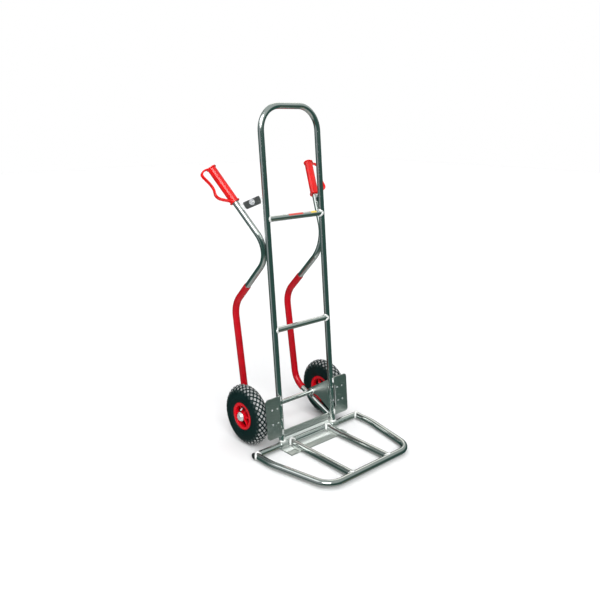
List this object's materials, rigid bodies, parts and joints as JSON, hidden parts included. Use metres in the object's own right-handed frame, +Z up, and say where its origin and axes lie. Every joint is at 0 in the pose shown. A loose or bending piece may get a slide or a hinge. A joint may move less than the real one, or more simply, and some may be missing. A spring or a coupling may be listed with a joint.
{
  "type": "hand truck",
  "caption": "Upright two-wheel hand truck with a tall hoop frame, stair glides, side grips with knuckle loops and a fold-up toe frame.",
  "frame": {"origin": "on the floor, midway between the sides, under the foot of the leaning frame", "axes": "+X the truck's right as seen by the person pushing it, +Y back towards the wheels and grips, +Z up"},
  "size_m": [0.5934, 0.6578, 1.3],
  "materials": {
    "tube": "polished tube with fine lengthwise marks and light scratches",
    "profile": "extruded, satin, scuffed",
    "sheet": "rolled sheet, satin",
    "steel": "zinc plated",
    "bearing": "ground steel",
    "grip_red": "smooth soft plastic, slightly worn",
    "sleeve_red": "smooth plastic with sliding marks",
    "rim_red": "moulded plastic",
    "black_plastic": "moulded, fine grain",
    "tyre": "rubber with a block tread, slightly shiny",
    "inner_tube": "smooth butyl rubber",
    "valve": "black rubber with a plated cap",
    "label_red": "plain printed film",
    "label_yellow": "plain printed film"
  },
  "bodies": {
    "frame": {"axle": "steel", "axle_spacer_left": "steel", "axle_spacer_right": "steel", "axle_washers": "steel", "brace_bolts": "steel", "brace_nuts": "steel", "brace_plate_left": "sheet", "brace_plate_right": "sheet", "brace_tab_left": "sheet", "brace_tab_right": "sheet", "glide_sleeve_left": "sleeve_red", "glide_sleeve_right": "sleeve_red", "grip_left": "grip_red", "grip_right": "grip_red", "guard_bracket_left": "sheet", "guard_bracket_right": "sheet", "gusset_left": "sheet", "gusset_right": "sheet", "hinge_bearing_left": "profile", "hinge_bearing_right": "profile", "hoop_frame": "tube", "hub_cap_left": "steel", "hub_cap_right": "steel", "label_red": "label_red", "label_yellow": "label_yellow", "rest_pad_left": "black_plastic", "rest_pad_right": "black_plastic", "rivets": "steel", "rung_middle": "tube", "rung_upper": "tube", "runner_tube_left": "tube", "runner_tube_right": "tube", "toe_profile": "profile", "wheel_guard_left": "sheet", "wheel_guard_right": "sheet"},
    "toe_frame": {"hinge_bar": "tube", "toe_hoop": "tube", "hinge_plug_left": "black_plastic", "hinge_plug_right": "black_plastic", "toe_slat_left": "tube", "toe_slat_right": "tube", "slat_shoe_left": "profile", "slat_shoe_right": "profile"},
    "wheel_left": {"tyre_left": "tyre", "inner_tube_left": "inner_tube", "rim_left": "rim_red", "valve_left": "valve", "wheel_bearings_left": "bearing"},
    "wheel_right": {"tyre_right": "tyre", "inner_tube_right": "inner_tube", "rim_right": "rim_red", "valve_right": "valve", "wheel_bearings_right": "bearing"}
  },
  "joints": [
    {"name": "toe_fold", "type": "hinge", "parent": "frame", "child": "toe_frame", "pos_m": [0, -0.003, 0.019], "axis": [-1, 0, 0], "range_deg": [0, 91.5]},
    {"name": "wheel_left_spin", "type": "hinge", "parent": "frame", "child": "wheel_left", "pos_m": [-0.209, 0.129, 0.122], "axis": [1, 0, 0], "continuous": true},
    {"name": "wheel_right_spin", "type": "hinge", "parent": "frame", "child": "wheel_right", "pos_m": [0.209, 0.129, 0.122], "axis": [1, 0, 0], "continuous": true}
  ]
}
